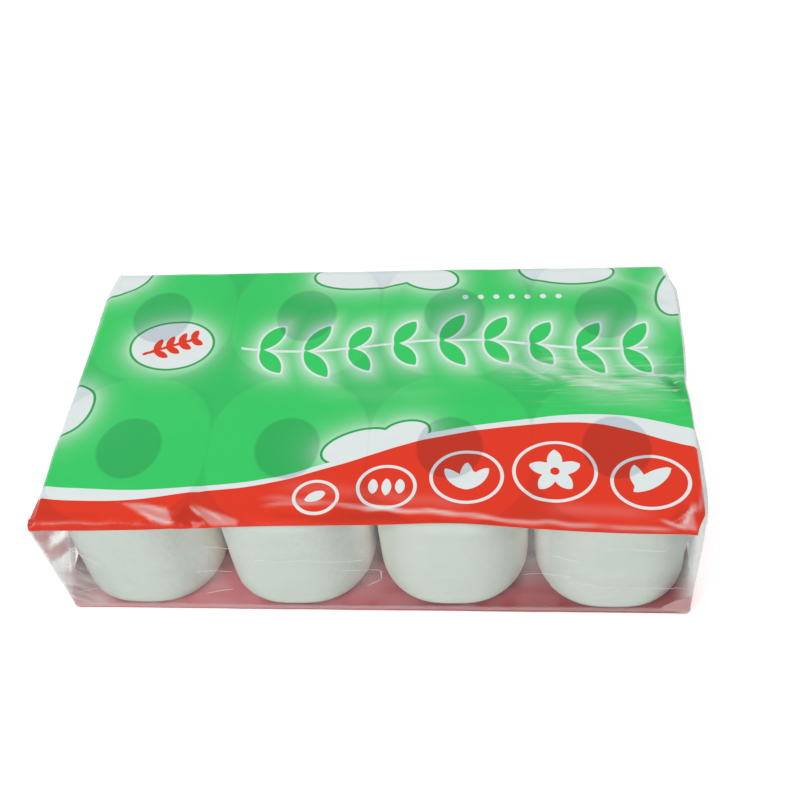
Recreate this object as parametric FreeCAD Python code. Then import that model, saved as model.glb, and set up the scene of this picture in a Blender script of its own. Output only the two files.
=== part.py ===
"""A pack of eight toilet rolls in a printed polythene wrapper.

The rolls stand upright in two rows of four. Each is paper wound on a cardboard tube. The
wrapper pulls them together, so a roll is a little oval, flat where it meets its neighbours
and flatter still at the ends of the pack. The wrapper is one tube of film. At each end its
sides are tucked in and two flaps are folded over them and welded together in a fin. The
long sides are clear, and the top and the underside are printed.

The origin is in the middle of the underside. X runs along the rows of four, Y from the
front to the back, and Z up. All lengths are in millimetres and all angles in degrees.
"""

import FreeCAD, Part
import math
import os

COLUMNS = 4
ROW_NAMES = ("front", "back")

# A roll
ROLL_ACROSS = 104.5  # along X, between two neighbours
ROLL_DEEP = 115.0  # along Y
ROLL_TALL = 97.5  # the width of the paper
ROLL_CROWN = 1.018  # how much the oval would swell if nothing pressed it
ROLL_EDGE = 9.0  # rounding of the outer edges, which the film pulls over
ROLL_SIDES = 36  # flat faces round a roll
TURN_AT = 0.7  # where the line between two bunches of turns lies, from the middle to the rim
TURN_WIDE = 1.6  # width of that line
TURN_DEEP = 0.8
TAIL_THICK = 0.8  # step where the last turn of paper ends
TAIL_SPAN = 60.0  # how far round the roll the step takes to fade out
TAIL_AT = 45.0  # where the step is, in the gap between four rolls
TAIL_TURN = 180.0  # how far a roll is turned from its neighbour

# The cardboard tube in a roll
BORE_ACROSS = 43.0  # along X
BORE_DEEP = 48.0  # along Y
TUBE_WALL = 1.2
TUBE_FIT = 0.05  # between the tube and the paper
TUBE_SHORT = 0.8  # how far each end of the tube stays inside the paper
TUBE_SIDES = 28  # flat faces round a tube

# The wrapper
ROLL_GAP = 0.8  # between neighbouring rolls
SQUEEZE = 3.0  # how far each end of the pack presses the outer rolls in
PLAY = 0.5  # between the rolls and the film of the long sides
END_PLAY = 1.5  # between the rolls and the folded ends, which are loose
TOP_PLAY = 1.5  # between the rolls and the top, which is loose too
FILM = 0.3  # the film, drawn thicker than it is
END_EDGE = 2.5  # rounding of the edges round the two ends
CORNER_EDGE = 3.0  # rounding of the four upright corners
LOWER_EDGE = 4.0  # rounding of the long lower edges

# Its folded ends
FLAP_THICK = 0.6  # how far a flap stands out from the tucked sides, along its long edge
FLAP_PUFF = 2.2  # how far it stands out along the weld
FLAP_LIP = 1.0  # from the rounded edges of the end to the flap
EAR_OUT = 3.2  # how far the upper corners of the ends stick out
EAR_SPAN = 22.0  # how far along the flap's edges an ear runs
FIN_TALL = 9.0
FIN_THICK = 0.6
PLEATS = 3  # gathers on each half of a flap
PLEAT_WIDE = 3.0
PLEAT_THICK = 0.35
PLEAT_REACH = 0.75  # share of the flap's height that a gather runs up

# The print
INK = 0.1  # a field of colour, drawn thicker than ink
PRINT_WRAP = 3.0  # how far the upper print comes down the long sides
PRINT_RISE = 1.6  # how far the lower print goes up the long sides
PRINT_END = 0.5  # from the rounded edges of the ends to the print
PLATE_ACROSS = 58.0  # a white oval in the green field
PLATE_DEEP = 44.0
PLATE_X = -146.0
PLATE_Y = 38.0
PLATE_SIDES = 20  # flat faces round it

# Where the red band and the white wave end, as shares of the half length and half depth
RED_LINE = ((-1, -0.80), (-0.69, -0.81), (-0.34, -0.72), (-0.1, -0.585), (0.18, -0.395),
            (0.42, -0.315), (0.62, -0.285), (0.82, -0.345), (1, -0.46))
WHITE_LINE = ((-1, -0.765), (-0.69, -0.745), (-0.34, -0.665), (-0.1, -0.54), (0.18, -0.35),
              (0.42, -0.27), (0.6, -0.232), (0.82, -0.25), (1, -0.33))

COLUMN_PITCH = ROLL_ACROSS + ROLL_GAP
ROW_PITCH = ROLL_DEEP + ROLL_GAP
FLOOR = INK + FILM  # the film's inner face under the rolls
ROLL_TOP = FLOOR + ROLL_TALL
INSIDE_X = (COLUMNS - 1) / 2 * COLUMN_PITCH + ROLL_ACROSS / 2 - SQUEEZE + END_PLAY
INSIDE_Y = (len(ROW_NAMES) - 1) / 2 * ROW_PITCH + ROLL_DEEP / 2 + PLAY
INSIDE_TOP = ROLL_TOP + TOP_PLAY
UPPER_EDGE = ROLL_EDGE + PLAY  # the long upper edges follow the rolls
FILM_X = INSIDE_X + FILM
FILM_Y = INSIDE_Y + FILM
FILM_TOP = INSIDE_TOP + FILM
PRINT_X = INSIDE_X - END_EDGE - PRINT_END
FAR = 4 * FILM_X  # further than anything on the pack


def vector(x, y, z):
    return FreeCAD.Vector(x, y, z)


def up(height):
    return vector(0, 0, height)


def flat_face(corners):
    return Part.Face(Part.makePolygon(corners + corners[:1]))


def band(under, over):
    """Flat faces from one ring of points to the next."""
    return [flat_face([under[k - 1], under[k], over[k], over[k - 1]]) for k in range(len(under))]


def closed(faces):
    """The solid inside flat faces."""
    shell = Part.makeShell(faces)
    shell.sewShape()
    return Part.makeSolid(shell)


def cuboid(half_x, half_y, low, high):
    """A box centred on the Z axis."""
    return Part.makeBox(2 * half_x, 2 * half_y, high - low, vector(-half_x, -half_y, low))


def rounded_section(half, low, high, lower_radius, upper_radius, place):
    """A rounded rectangle from -half to half and from low to high. place makes (u, v) a point."""

    def corner(u, v, radius, start):
        angles = [math.radians(start + step) for step in (0, 45, 90)]
        return Part.Arc(*[place(u + radius * math.cos(a), v + radius * math.sin(a)) for a in angles])

    lower, upper = lower_radius, upper_radius
    corners = [
        corner(half - lower, low + lower, lower, 270),
        corner(half - upper, high - upper, upper, 0),
        corner(upper - half, high - upper, upper, 90),
        corner(lower - half, low + lower, lower, 180),
    ]
    edges = []
    for this, following in zip(corners, corners[1:] + corners[:1]):
        edges.append(this.toShape())
        edges.append(Part.LineSegment(this.EndPoint, following.StartPoint).toShape())
    return Part.Face(Part.Wire(edges))


def wrapped_form(offset):
    """The room inside the film, grown outwards by offset on every side."""
    x, y = INSIDE_X + offset, INSIDE_Y + offset
    low, high = FLOOR - offset, INSIDE_TOP + offset
    end, upright = END_EDGE + offset, CORNER_EDGE + offset
    lower, upper = LOWER_EDGE + offset, UPPER_EDGE + offset
    plan = rounded_section(x, -y, y, upright, upright, lambda u, v: vector(u, v, low))
    front = rounded_section(x, low, high, end, end, lambda u, v: vector(u, -y, v))
    profile = rounded_section(y, low, high, lower, upper, lambda u, v: vector(-x, u, v))
    form = plan.extrude(up(high - low))
    form = form.common(front.extrude(vector(0, 2 * y, 0)))
    return form.common(profile.extrude(vector(2 * x, 0, 0)))


def on_end_wall(corners):
    """A piece on the right end wall, from (y, z, how far it stands out). It is rooted inside the film."""
    root = [vector(FILM_X - FILM / 2, y, z) for y, z, out in corners]
    outer = [vector(FILM_X + out, y, z) for y, z, out in corners]
    return closed([flat_face(root), flat_face(outer)] + band(root, outer))


def half_flap(rounding):
    """Half the length of a flap's long edge, which ends short of the rounded edges round the end."""
    reach = rounding - FLAP_LIP
    on_arc = INSIDE_Y - rounding + math.sqrt(reach ** 2 - (reach - END_EDGE) ** 2)
    return min(on_arc, INSIDE_Y - CORNER_EDGE - FLAP_LIP)


def end_flap(weld, edge, half_edge):
    """One flap, from a long edge of the end wall to the weld, with its gathers.

    Its sides run in at 45 degrees, because the sides of the film are tucked in under it.
    """
    half_weld = half_edge - abs(edge - weld)
    pieces = [on_end_wall([(-half_edge, edge, FLAP_THICK), (half_edge, edge, FLAP_THICK),
                           (half_weld, weld, FLAP_PUFF), (-half_weld, weld, FLAP_PUFF)])]
    out = FLAP_PUFF + PLEAT_THICK
    tip_out = out - PLEAT_REACH * (FLAP_PUFF - FLAP_THICK)
    tip_z = weld + PLEAT_REACH * (edge - weld)
    for share in range(1, PLEATS + 1):
        foot = half_weld * share / (PLEATS + 0.5)
        tip = foot + PLEAT_REACH * (half_edge - half_weld) * share / (PLEATS + 1)
        for side in (-1, 1):
            pieces.append(on_end_wall([(side * (foot - PLEAT_WIDE / 2), weld, out),
                                       (side * (foot + PLEAT_WIDE / 2), weld, out),
                                       (side * tip, tip_z, tip_out)]))
    return pieces, half_weld


def ears(edge, half_edge):
    """The corners of the upper flap, which stick out where the sides are tucked in."""
    corners = ((half_edge, edge, EAR_OUT), (half_edge - EAR_SPAN, edge, FLAP_THICK),
               (half_edge - EAR_SPAN, edge - EAR_SPAN, FLAP_THICK))
    return [on_end_wall([(side * y, z, out) for y, z, out in corners]) for side in (-1, 1)]


def end_folds():
    """Both flaps with their ears, and the welded fin, which lies against the lower flap."""
    top = INSIDE_TOP - END_EDGE - FLAP_LIP
    bottom = FLOOR + END_EDGE + FLAP_LIP
    weld = (top + bottom) / 2
    upper, half_weld = end_flap(weld, top, half_flap(UPPER_EDGE))
    lower, lower_half_weld = end_flap(weld, bottom, half_flap(LOWER_EDGE))
    half_fin = min(half_weld, lower_half_weld)
    out = FLAP_PUFF + PLEAT_THICK + FIN_THICK
    hem_out = out - (FLAP_PUFF - FLAP_THICK) * FIN_TALL / (weld - bottom)
    hem = weld - FIN_TALL
    fin = on_end_wall([(-half_fin, hem, hem_out), (half_fin, hem, hem_out), (half_fin, weld, out),
                       (-half_fin, weld, out)])
    return upper + ears(top, half_flap(UPPER_EDGE)) + lower + [fin]


def film_wrapper():
    shell = wrapped_form(FILM).cut(wrapped_form(0))
    right = end_folds()
    left = [piece.mirror(vector(0, 0, 0), vector(1, 0, 0)) for piece in right]
    return shell.fuse(right + left).removeSplitter()


def in_front_of(line):
    """The room in front of a wavy line across the top of the pack."""
    wave = Part.BSplineCurve()
    wave.interpolate([vector(x * FILM_X, y * FILM_Y, 0) for x, y in line])
    start, end = wave.StartPoint, wave.EndPoint
    front = -FAR
    border = Part.makePolygon([end, vector(end.x, front, 0), vector(start.x, front, 0), start])
    return Part.Face(Part.Wire([wave.toShape()] + border.Edges)).extrude(up(FAR))


def print_fields():
    """The fields of colour, each a thin solid on the outside of the film."""
    ink = wrapped_form(FILM + INK).cut(wrapped_form(FILM))
    upper = ink.common(cuboid(PRINT_X, FAR, FILM_TOP - PRINT_WRAP, FAR))
    red_room = in_front_of(RED_LINE)
    white_room = in_front_of(WHITE_LINE)
    plate_room = stack(oval_points(PLATE_ACROSS, PLATE_DEEP, PLATE_SIDES), [(1, 0), (1, FAR)])
    plate_room.translate(vector(PLATE_X, PLATE_Y, FILM))
    field = upper.cut(white_room)
    return {
        "print_green_field": field.cut(plate_room),
        "print_white_plate": field.common(plate_room),
        "print_white_wave": upper.common(white_room).cut(red_room),
        "print_red_band": upper.common(red_room),
        "print_underside": ink.common(cuboid(PRINT_X, FAR, -INK, PRINT_RISE)),
    }


def stack(points, levels):
    """A solid of flat faces through scaled copies of an outline, from (scale, height) pairs."""
    rings = [[vector(scale * x, scale * y, height) for x, y in points] for scale, height in levels]
    faces = [flat_face(rings[0]), flat_face(rings[-1])]
    for under, over in zip(rings, rings[1:]):
        faces += band(under, over)
    return closed(faces)


def oval_points(across, deep, sides):
    """Points round an oval, with a flat side at each end of both axes."""
    turns = [2 * math.pi * (step + 0.5) / sides for step in range(sides)]
    return [(across / 2 * math.cos(turn), deep / 2 * math.sin(turn)) for turn in turns]


def tail_step(angle, tail):
    """How far the loose end of the paper lifts the outline at an angle, in millimetres."""
    past = (math.degrees(angle) - tail) % 360
    return TAIL_THICK * max(0.0, 1 - past / TAIL_SPAN)


def roll_outline(reach_left, reach_right, tail):
    """The plan of a roll: an oval, cut flat by what presses on it, with the step of its loose end."""
    points = []
    for x, y in oval_points(ROLL_CROWN * ROLL_ACROSS, ROLL_CROWN * ROLL_DEEP, ROLL_SIDES):
        angle = math.atan2(y, x)
        swell = 1 + tail_step(angle, tail) / math.hypot(x, y)
        x, y = swell * x, swell * y
        points.append((min(max(x, -reach_left), reach_right), min(max(y, -ROLL_DEEP / 2), ROLL_DEEP / 2)))
    return points


def soft_edge(half_width):
    """(scale, height) pairs from the bottom of a roll to its top, rounded at both ends."""
    rounding = []
    for angle in (0, 45, 90):
        inset = ROLL_EDGE * (1 - math.sin(math.radians(angle)))
        rise = ROLL_EDGE * (1 - math.cos(math.radians(angle)))
        rounding.append((1 - inset / half_width, rise))
    return rounding + [(scale, ROLL_TALL - rise) for scale, rise in reversed(rounding)]


def turn_line(points, half_width, height, depth):
    """A groove of V section round an end of a roll. depth is negative at the top."""
    half_line = TURN_WIDE / 2 / half_width
    outside = stack(points, [(TURN_AT, height + depth), (TURN_AT + half_line, height)])
    inside = stack(points, [(TURN_AT, height + depth), (TURN_AT - half_line, height)])
    return outside.cut(inside)


def paper_roll(reach_left, reach_right, tail):
    """The paper of one roll, standing on Z = 0 round its own axis."""
    points = roll_outline(reach_left, reach_right, tail)
    half_width = ROLL_ACROSS / 2
    roll = stack(points, soft_edge(half_width))
    hole = 2 * (TUBE_WALL + TUBE_FIT)
    bore = oval_points(BORE_ACROSS + hole, BORE_DEEP + hole, TUBE_SIDES)
    roll = roll.cut(stack(bore, [(1, 0), (1, ROLL_TALL)]))
    roll = roll.cut(turn_line(points, half_width, 0, TURN_DEEP))
    return roll.cut(turn_line(points, half_width, ROLL_TALL, -TURN_DEEP)).removeSplitter()


def core_tube():
    """The cardboard tube of one roll, round its own axis."""
    levels = [(1, TUBE_SHORT), (1, ROLL_TALL - TUBE_SHORT)]
    outside = oval_points(BORE_ACROSS + 2 * TUBE_WALL, BORE_DEEP + 2 * TUBE_WALL, TUBE_SIDES)
    inside = oval_points(BORE_ACROSS, BORE_DEEP, TUBE_SIDES)
    return stack(outside, levels).cut(stack(inside, levels))


def rolls():
    """The eight rolls and their tubes. The outer columns are pressed in by the ends of the pack."""
    nodes = {}
    reach = ROLL_ACROSS / 2
    tube = core_tube()
    for row, row_name in enumerate(ROW_NAMES):
        y = (row - (len(ROW_NAMES) - 1) / 2) * ROW_PITCH
        for column in range(COLUMNS):
            x = (column - (COLUMNS - 1) / 2) * COLUMN_PITCH
            reach_left = reach - SQUEEZE if column == 0 else reach
            reach_right = reach - SQUEEZE if column == COLUMNS - 1 else reach
            tail = TAIL_AT + TAIL_TURN * (row + column)
            place = vector(x, y, FLOOR)
            name = f"{row_name}_{column + 1}"
            nodes[f"paper_roll_{name}"] = paper_roll(reach_left, reach_right, tail).translated(place)
            nodes[f"core_tube_{name}"] = tube.translated(place)
    return nodes


def main():
    os.makedirs("parts", exist_ok=True)
    nodes = {"film_wrapper": film_wrapper(), **print_fields(), **rolls()}
    for name, shape in nodes.items():
        shape.exportStep(f"parts/{name}.step")
        print(name, len(shape.Solids), shape.isValid(), round(shape.Volume, 1))


main()
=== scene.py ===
"""The looks of a pack of toilet rolls: printed and clear film, eight soft paper rolls and their tubes.

Lengths are in millimetres until a mesh is made, which turns them into metres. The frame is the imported
model's: X along the rows of four, Y from the front to the back, Z up, origin under the pack's middle.
"""

import math

import bpy
import numpy as np
from mathutils import Matrix, Vector


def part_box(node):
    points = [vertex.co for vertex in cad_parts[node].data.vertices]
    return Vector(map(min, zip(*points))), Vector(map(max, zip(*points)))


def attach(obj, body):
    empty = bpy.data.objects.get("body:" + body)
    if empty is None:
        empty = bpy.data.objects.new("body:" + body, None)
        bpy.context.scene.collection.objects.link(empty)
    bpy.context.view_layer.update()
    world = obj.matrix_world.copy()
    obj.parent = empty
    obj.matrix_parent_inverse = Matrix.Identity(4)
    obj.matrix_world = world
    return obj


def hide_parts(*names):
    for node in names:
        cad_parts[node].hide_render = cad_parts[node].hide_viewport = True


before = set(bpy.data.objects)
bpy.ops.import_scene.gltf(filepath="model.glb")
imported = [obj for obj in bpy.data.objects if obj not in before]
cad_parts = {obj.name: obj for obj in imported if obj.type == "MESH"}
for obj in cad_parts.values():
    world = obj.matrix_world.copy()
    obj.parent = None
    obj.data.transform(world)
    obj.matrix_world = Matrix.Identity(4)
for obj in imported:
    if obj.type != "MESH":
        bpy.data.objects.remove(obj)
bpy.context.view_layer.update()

MM = 0.001
TURN = 2 * math.pi
FAR = 99.0  # further than any distance that matters on the pack


def node_box(name):
    """Lowest and highest corner of a node, in millimetres."""
    low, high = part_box(name)
    return np.array(low) / MM, np.array(high) / MM


ROLL_NAMES = [f"{row}_{column}" for row in ("front", "back") for column in (1, 2, 3, 4)]
TUBES = {name: node_box(f"core_tube_{name}") for name in ROLL_NAMES}
ROLLS = {name: node_box(f"paper_roll_{name}") for name in ROLL_NAMES}
AXES = {name: (low + high) / 2 for name, (low, high) in TUBES.items()}
PITCH_X = AXES["front_2"][0] - AXES["front_1"][0]
INNER_ROLL = ROLLS["front_2"][1] - ROLLS["front_2"][0]  # a roll that only its neighbours press

# The wrapper's main form
FOLDS_OUT = 3.8  # how far the folds stand out from the foot of the two end walls
HALF_X = node_box("film_wrapper")[1][0] - FOLDS_OUT
HALF_Y = node_box("film_wrapper")[1][1]
TOP = node_box("print_green_field")[1][2]
MIDDLE = TOP / 2  # height of the weld
UPPER_EDGE = 9.8  # rounding of the long upper edges
LOWER_EDGE = 1.6  # of the long lower edges
END_EDGE = 2.8  # and of the edges round the two ends
END_ARC = END_EDGE * math.pi / 2
FLAT_TOP = HALF_Y - UPPER_EDGE  # where the long rounded edges begin

# The wrapper's mesh: steps along X and round the section, and points on each rounding
STEP_X = 1.7
STEP_TOP = 1.75
STEP_SIDE = 2.6
STEP_BASE = 6.0
ARC_UPPER = 12
ARC_LOWER = 3
ARC_END = 4
CAP_STEPS = 30  # from the edge of an end to its weld
INNER_COARSE = 2.0  # how much coarser the mesh of the film's inside is
INNER_INSET = 0.35  # how far inside the wrapper it lies


def smooth(edge0, edge1, value):
    """0 at edge0 and 1 at edge1, with a soft start and end."""
    t = np.clip((value - edge0) / (edge1 - edge0), 0.0, 1.0)
    return t * t * (3 - 2 * t)


def lobe(distance, width):
    """A bell of height 1."""
    return np.exp(-0.5 * (distance / width) ** 2)


def curve_through(line, x):
    """A smooth curve through a few points, by Hermite pieces."""
    px = np.array([p[0] for p in line], float)
    py = np.array([p[1] for p in line], float)
    slope = np.gradient(py, px)
    k = np.clip(np.searchsorted(px, x) - 1, 0, len(px) - 2)
    width = px[k + 1] - px[k]
    t = np.clip((x - px[k]) / width, 0, 1)
    rise = (2 * t ** 3 - 3 * t ** 2 + 1) * py[k] + (3 * t ** 2 - 2 * t ** 3) * py[k + 1]
    return rise + width * ((t ** 3 - 2 * t ** 2 + t) * slope[k] + (t ** 3 - t ** 2) * slope[k + 1])


def noise(x, y, size, seed):
    """Smooth noise from -1 to 1 over a plane, with lumps of about size."""
    table = np.random.default_rng(seed).uniform(-1, 1, (64, 64))
    u, v = x / size, y / size
    i, j = np.floor(u).astype(int), np.floor(v).astype(int)
    fu, fv = u - i, v - j
    fu, fv = fu * fu * (3 - 2 * fu), fv * fv * (3 - 2 * fv)
    low = table[i % 64, j % 64] * (1 - fu) + table[(i + 1) % 64, j % 64] * fu
    high = table[i % 64, (j + 1) % 64] * (1 - fu) + table[(i + 1) % 64, (j + 1) % 64] * fu
    return low * (1 - fv) + high * fv


def make_object(name, points, faces, smooth_shading=True):
    """An object from points in millimetres and faces with as many corners each."""
    mesh = bpy.data.meshes.new(name)
    faces = np.asarray(faces, dtype=np.int32)
    mesh.vertices.add(len(points))
    mesh.vertices.foreach_set("co", (np.asarray(points) * MM).astype(np.float32).ravel())
    mesh.loops.add(faces.size)
    mesh.loops.foreach_set("vertex_index", faces.ravel())
    mesh.polygons.add(len(faces))
    sides = faces.shape[1]
    mesh.polygons.foreach_set("loop_start", np.arange(0, faces.size, sides, dtype=np.int32))
    mesh.polygons.foreach_set("loop_total", np.full(len(faces), sides, dtype=np.int32))
    mesh.polygons.foreach_set("use_smooth", np.full(len(faces), smooth_shading))
    mesh.update(calc_edges=True)
    obj = bpy.data.objects.new(name, mesh)
    bpy.context.scene.collection.objects.link(obj)
    return obj


def set_fields(obj, fields):
    """Writes named numbers on a piece's points, for its material."""
    for name, values in fields.items():
        layer = obj.data.attributes.new(name, "FLOAT", "POINT")
        layer.data.foreach_set("value", np.asarray(values, dtype=np.float32).ravel())


def dress(obj, material, nodes=()):
    """Gives a piece its material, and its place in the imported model."""
    obj.data.materials.append(material)
    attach(obj, "root")
    if nodes:
        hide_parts(*nodes)


def ring_faces(rings, around, closed):
    """Quads between rings of points, each ring closed on itself."""
    i = np.arange(rings if closed else rings - 1)[:, None]
    j = np.arange(around)[None, :]
    over, aside = (i + 1) % rings, (j + 1) % around
    corners = (i * around + j, i * around + aside, over * around + aside, over * around + j)
    return np.stack(corners, axis=-1).reshape(-1, 4)


def ring(axis, angle, reach_x, reach_y, level):
    """Points round an upright axis, at one level or at a level for each angle."""
    level = np.broadcast_to(level, angle.shape)
    return np.stack([axis[0] + reach_x * np.cos(angle), axis[1] + reach_y * np.sin(angle), level], 1)


# Rolls

ROLL_AROUND = 200
BORE_RINGS = 12
ROLL_EDGES = {"front_2": 8.0, "front_3": 10.0}  # how round the paper's edges are pressed
ROLL_EDGE = 6.5  # and those of the other rolls
ROLL_SQUARE = 2.35  # 2 is a true oval, and more is squarer, as pressed rolls are
FLAT_BLEND = 60.0  # how sharply a roll's oval turns into its flats
ROLL_SLACK = 0.3  # how far the soft paper lies inside its solid
ROLL_LUMPS = 0.3  # how uneven a roll's side is
ROLL_DIP, ROLL_WAVE = 0.5, 0.3  # how far a roll's ends lie inside its solid, and how uneven they are
TUBE_FIT = 0.05  # between the paper and its tube
TAIL_STEP = 0.5  # where the last turn of paper ends
TAIL_SPAN = math.radians(60)  # how far round the roll that step fades out
TAIL_AT = math.radians(45)
FACING_FROM, FACING_TO = 0.7, 0.97  # cosine of the angle to a neighbour


def roll_reach(name, angle):
    """Distance of a roll's side from its axis, at an angle in the plan."""
    low, high = ROLLS[name]
    axis = AXES[name]
    cos, sin = np.abs(np.cos(angle)), np.abs(np.sin(angle))
    half = INNER_ROLL[:2] / 2
    round_reach = ((cos / half[0]) ** ROLL_SQUARE + (sin / half[1]) ** ROLL_SQUARE) ** (-1 / ROLL_SQUARE)
    flat_x = np.where(np.cos(angle) > 0, high[0] - axis[0], axis[0] - low[0]) / np.maximum(cos, 1e-6)
    flat_y = np.where(np.sin(angle) > 0, high[1] - axis[1], axis[1] - low[1]) / np.maximum(sin, 1e-6)
    reach = round_reach ** -FLAT_BLEND + flat_x ** -FLAT_BLEND + flat_y ** -FLAT_BLEND
    return reach ** (-1 / FLAT_BLEND)


def roll_profile(tall, edge):
    """(share of the way from bore to side, inset from the side, height) from bottom to top."""
    profile = [(share, None, 0.0) for share in np.linspace(0, 1, 26)]
    for step in np.linspace(0, math.pi / 2, 10)[1:]:
        profile.append((1, edge * (1 - math.sin(step)), edge * (1 - math.cos(step))))
    for height in np.linspace(edge, tall / 2, 16)[1:]:
        profile.append((1, 0.0, height))
    return profile + [(share, inset, tall - height) for share, inset, height in reversed(profile[:-1])]


def facing_rolls(name, angle):
    """1 where a roll's side faces a neighbour: a dim side, on which light is painted for the light that comes
    through the paper.
    """
    row, column = name.split("_")
    inward = 1 if row == "front" else -1
    facing = smooth(FACING_FROM, FACING_TO, inward * np.sin(angle))
    if column != "4":
        facing = np.maximum(facing, smooth(FACING_FROM, FACING_TO, np.cos(angle)))
    if column != "1":
        facing = np.maximum(facing, smooth(FACING_FROM, FACING_TO, -np.cos(angle)))
    return facing


def make_roll(name, index, material):
    low, high = ROLLS[name]
    axis = AXES[name]
    bore = (TUBES[name][1] - TUBES[name][0]) / 2 + TUBE_FIT
    tall = high[2] - low[2]
    edge = ROLL_EDGES.get(name, ROLL_EDGE)
    angle = np.linspace(0, TURN, ROLL_AROUND, endpoint=False)
    past = (angle - TAIL_AT - math.pi * (index // 4 + index % 4)) % TURN
    side = roll_reach(name, angle) - ROLL_SLACK - TAIL_STEP * np.clip(past / TAIL_SPAN, 0, 1)
    inner = 1 / np.hypot(np.cos(angle) / bore[0], np.sin(angle) / bore[1])
    # where light is painted on the sides that face a neighbour
    between = facing_rolls(name, angle)
    rings, turns, facing = [], [], []
    for share, inset, height in roll_profile(tall, edge):
        on_end = inset is None
        reach = inner + (side - edge - inner) * share if on_end else side - inset
        level = np.full(ROLL_AROUND, height)
        reach = reach + ROLL_LUMPS * share * noise(angle * 9 + 40 * index, level, 13.0, 7 + index)
        wavy = noise(angle * 14, np.full(ROLL_AROUND, 40 * share), 9.0, 90 + index)
        lift = height + np.sign(tall / 2 - height) * (ROLL_DIP + ROLL_WAVE * wavy) * on_end
        rings.append(ring(axis, angle, reach, reach, low[2] + lift))
        turns.append(np.full(ROLL_AROUND, share if on_end else 0.0))
        facing.append(between * (not on_end))
    for share in np.linspace(0.96, 0.04, BORE_RINGS):
        rings.append(ring(axis, angle, inner, inner, low[2] + tall * share))
        turns.append(np.zeros(ROLL_AROUND))
        facing.append(np.zeros(ROLL_AROUND))
    roll = make_object(f"roll_{name}", np.concatenate(rings), ring_faces(len(rings), ROLL_AROUND, True))
    set_fields(roll, {"turns": turns, "facing": facing})
    dress(roll, material, [f"paper_roll_{name}"])


# Tubes

TUBE_AROUND = 96
TUBE_RINGS = 40
TUBE_WALL = 1.2
SEAM_RISE = 0.12  # the step where one turn of card meets the next
SEAM_PITCH = 70.0  # how far up the tube one turn of card reaches


def make_tube(name, material):
    low, high = TUBES[name]
    half = (high - low)[:2] / 2
    angle = np.linspace(0, TURN, TUBE_AROUND, endpoint=False)
    heights = np.linspace(low[2], high[2], TUBE_RINGS)
    rings, seams = [], []
    for inset, levels in ((0.0, heights), (TUBE_WALL, heights[::-1])):
        for height in levels:
            turn = (angle / TURN + height / SEAM_PITCH) % 1.0
            step = SEAM_RISE * (smooth(0.0, 0.03, turn) - smooth(0.0, 1.0, turn))
            reach = half - inset - SEAM_RISE
            rings.append(ring(AXES[name], angle, reach[0] + step, reach[1] + step, height))
            seams.append(smooth(0.05, 0.0, turn) + smooth(0.97, 1.0, turn))
    tube = make_object(f"tube_{name}", np.concatenate(rings), ring_faces(len(rings), TUBE_AROUND, True))
    set_fields(tube, {"seam": seams})
    dress(tube, material, [f"core_tube_{name}"])


# Wrapper: its section

BASE_FRONT, FRONT, UPPER_FRONT, ABOVE, UPPER_BACK, BACK, BASE_BACK, BELOW = range(8)
ON_TOP = (UPPER_FRONT, ABOVE, UPPER_BACK)
ON_SIDES = (FRONT, BACK)
ON_BASE = (BASE_FRONT, BELOW, BASE_BACK)


def section(coarse=1.0):
    """Points round the wrapper's section: (y, z), outward normal, stretch, and place along the sheet."""
    rows = []

    def line(y0, z0, y1, z1, normal, step, stretch):
        count = max(2, int(round(math.hypot(y1 - y0, z1 - z0) / step / coarse)))
        for share in np.linspace(0, 1, count + 1)[1:-1]:
            rows.append((y0 + (y1 - y0) * share, z0 + (z1 - z0) * share, *normal, stretch))

    def arc(y, z, radius, start, count, stretch):
        for angle in np.radians(np.linspace(start, start - 90, count + 1)):
            cos, sin = math.cos(angle), math.sin(angle)
            rows.append((y + radius * cos, z + radius * sin, cos, sin, stretch))

    y, upper, lower = HALF_Y, UPPER_EDGE, LOWER_EDGE
    arc(-y + lower, lower, lower, 270, ARC_LOWER, BASE_FRONT)
    line(-y, lower, -y, TOP - upper, (-1, 0), STEP_SIDE, FRONT)
    arc(-y + upper, TOP - upper, upper, 180, ARC_UPPER, UPPER_FRONT)
    line(-y + upper, TOP, y - upper, TOP, (0, 1), STEP_TOP, ABOVE)
    arc(y - upper, TOP - upper, upper, 90, ARC_UPPER, UPPER_BACK)
    line(y, TOP - upper, y, lower, (1, 0), STEP_SIDE, BACK)
    arc(y - lower, lower, lower, 0, ARC_LOWER, BASE_BACK)
    line(y - lower, 0, -y + lower, 0, (0, -1), STEP_BASE, BELOW)
    rows = np.array(rows)
    steps = np.hypot(np.diff(rows[:, 0], append=rows[0, 0]), np.diff(rows[:, 1], append=rows[0, 1]))
    along = np.concatenate([[0], np.cumsum(steps)[:-1]])
    above = rows[:, 4] == ABOVE
    middle = np.interp(0, rows[above][:, 0], along[above])
    return rows.T[:2], rows.T[2:4], rows[:, 4].astype(int), along - middle


# Wrapper: what the rolls under it show

HOLE_SHIFT = 6.5  # the painted shade of the holes lies further back on the film, and more so in the back row
HOLE_SHIFT_GROWS = 0.026


def gap_depth(x, y):
    """How far a place on the top lies outside the nearest roll."""
    depths = []
    for name in ROLL_NAMES:
        away_x, away_y = x - AXES[name][0], y - AXES[name][1]
        depths.append(np.hypot(away_x, away_y) - roll_reach(name, np.arctan2(away_y, away_x)))
    return np.minimum.reduce(depths)


def from_seam(x):
    """Distance along X from the nearest line between two rolls."""
    return np.abs((x / PITCH_X + 0.5) % 1.0 - 0.5) * PITCH_X


def bore_distance(x, y):
    """Distance from the edge of the nearest tube's bore, less than zero inside it."""
    distances = []
    for name in ROLL_NAMES:
        half = (TUBES[name][1] - TUBES[name][0])[:2] / 2 - TUBE_WALL
        distances.append(oval(x - AXES[name][0], y - AXES[name][1], half[0], half[1]))
    return np.minimum.reduce(distances)


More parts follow.
